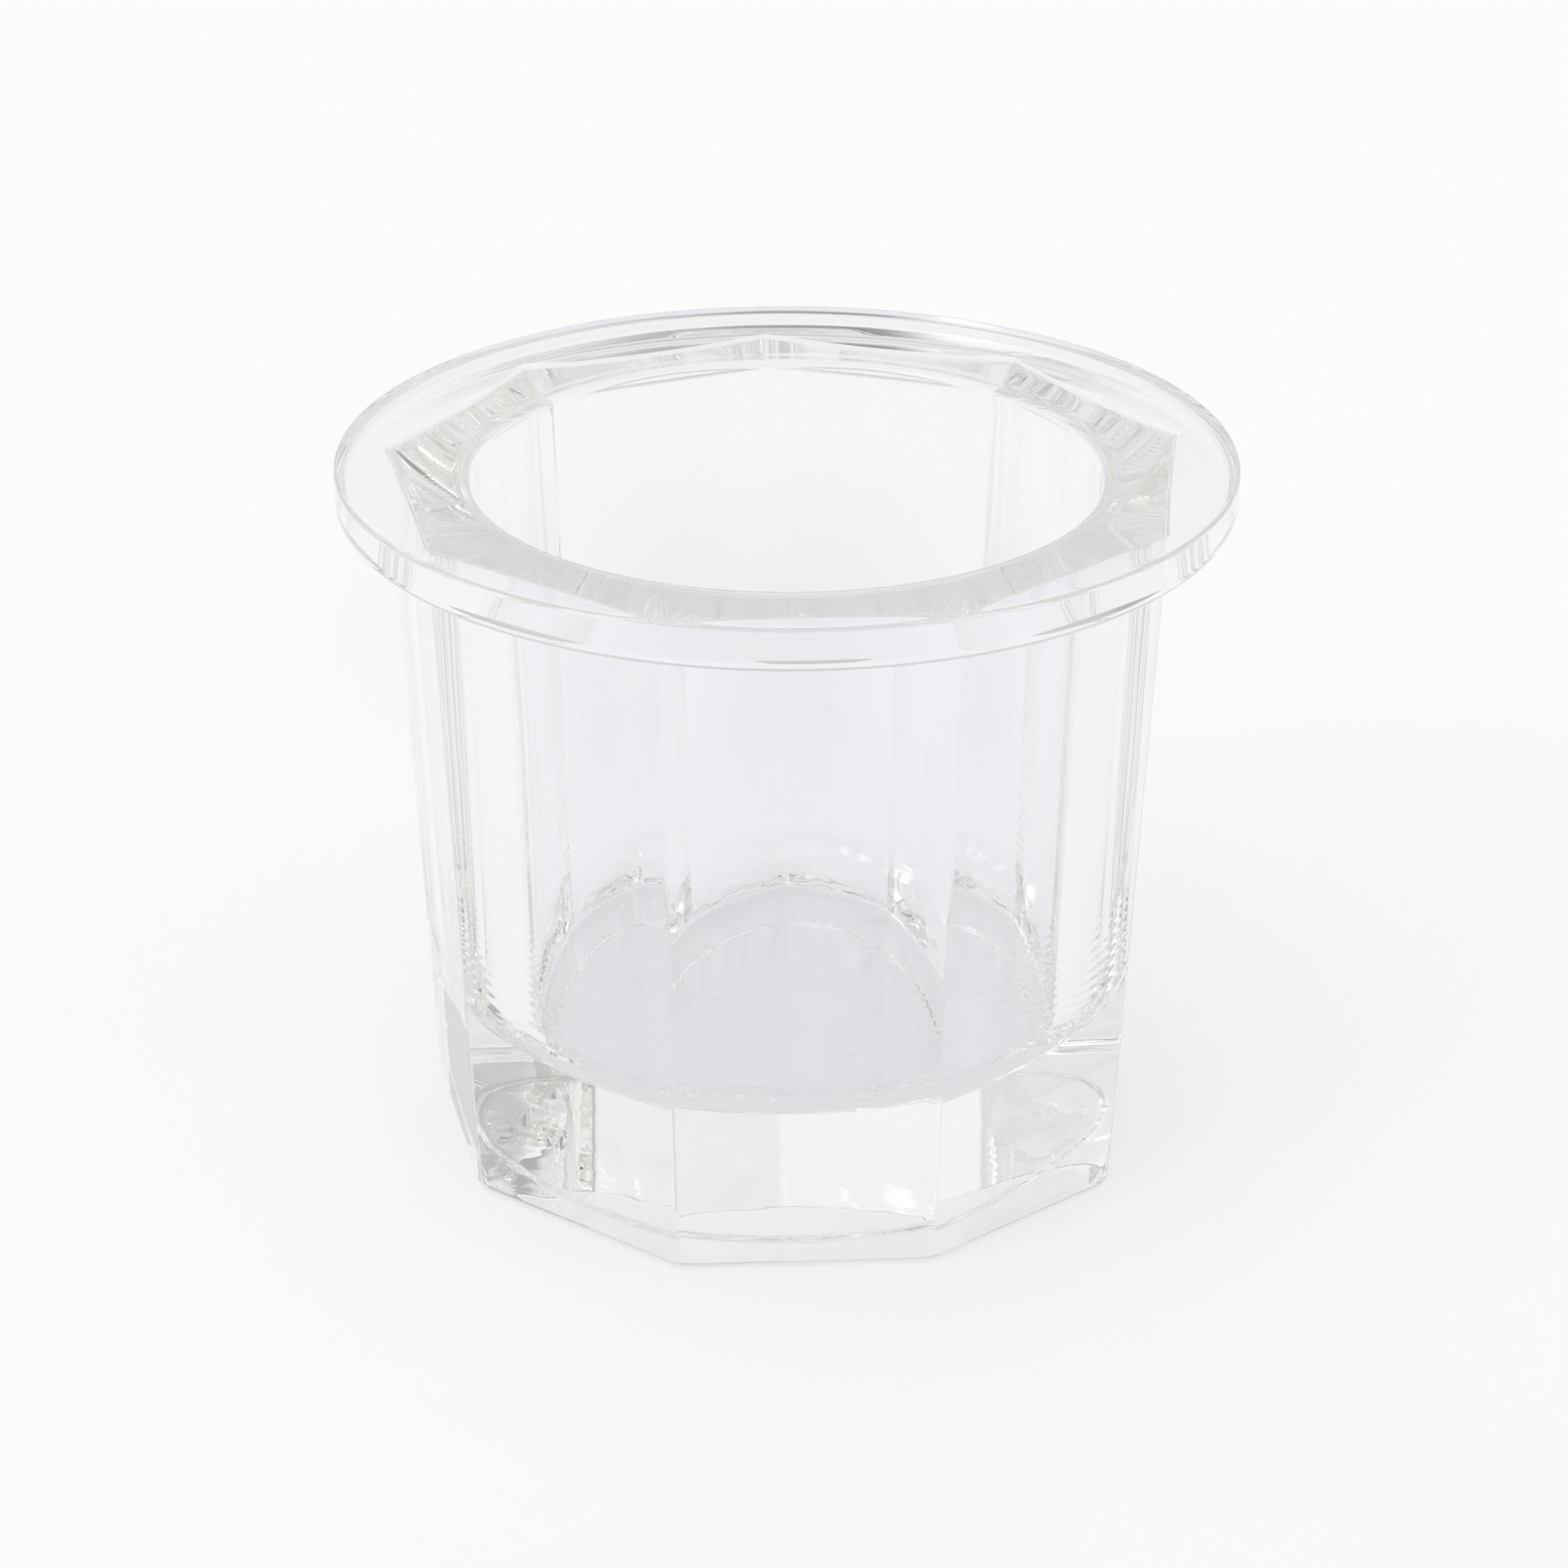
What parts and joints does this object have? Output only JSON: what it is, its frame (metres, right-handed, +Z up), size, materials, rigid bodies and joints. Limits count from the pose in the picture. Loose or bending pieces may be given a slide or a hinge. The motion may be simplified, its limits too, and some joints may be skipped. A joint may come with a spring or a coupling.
{
  "type": "tealight holder",
  "caption": "Clear pressed-glass tealight holder: a thick-based nine-sided tapering cup with a round well and a flat round rim.",
  "frame": {"origin": "centre of the foot, on the surface that the holder stands on", "axes": "+Z up along the well's axis, out of its mouth; the middle of one of the nine facets faces -Y and a corner faces +Y; +X to the right"},
  "size_m": [0.07, 0.07, 0.0569],
  "materials": {
    "clear_glass": "gloss"
  },
  "bodies": {
    "root": {"glass_holder": "clear_glass"}
  },
  "joints": []
}
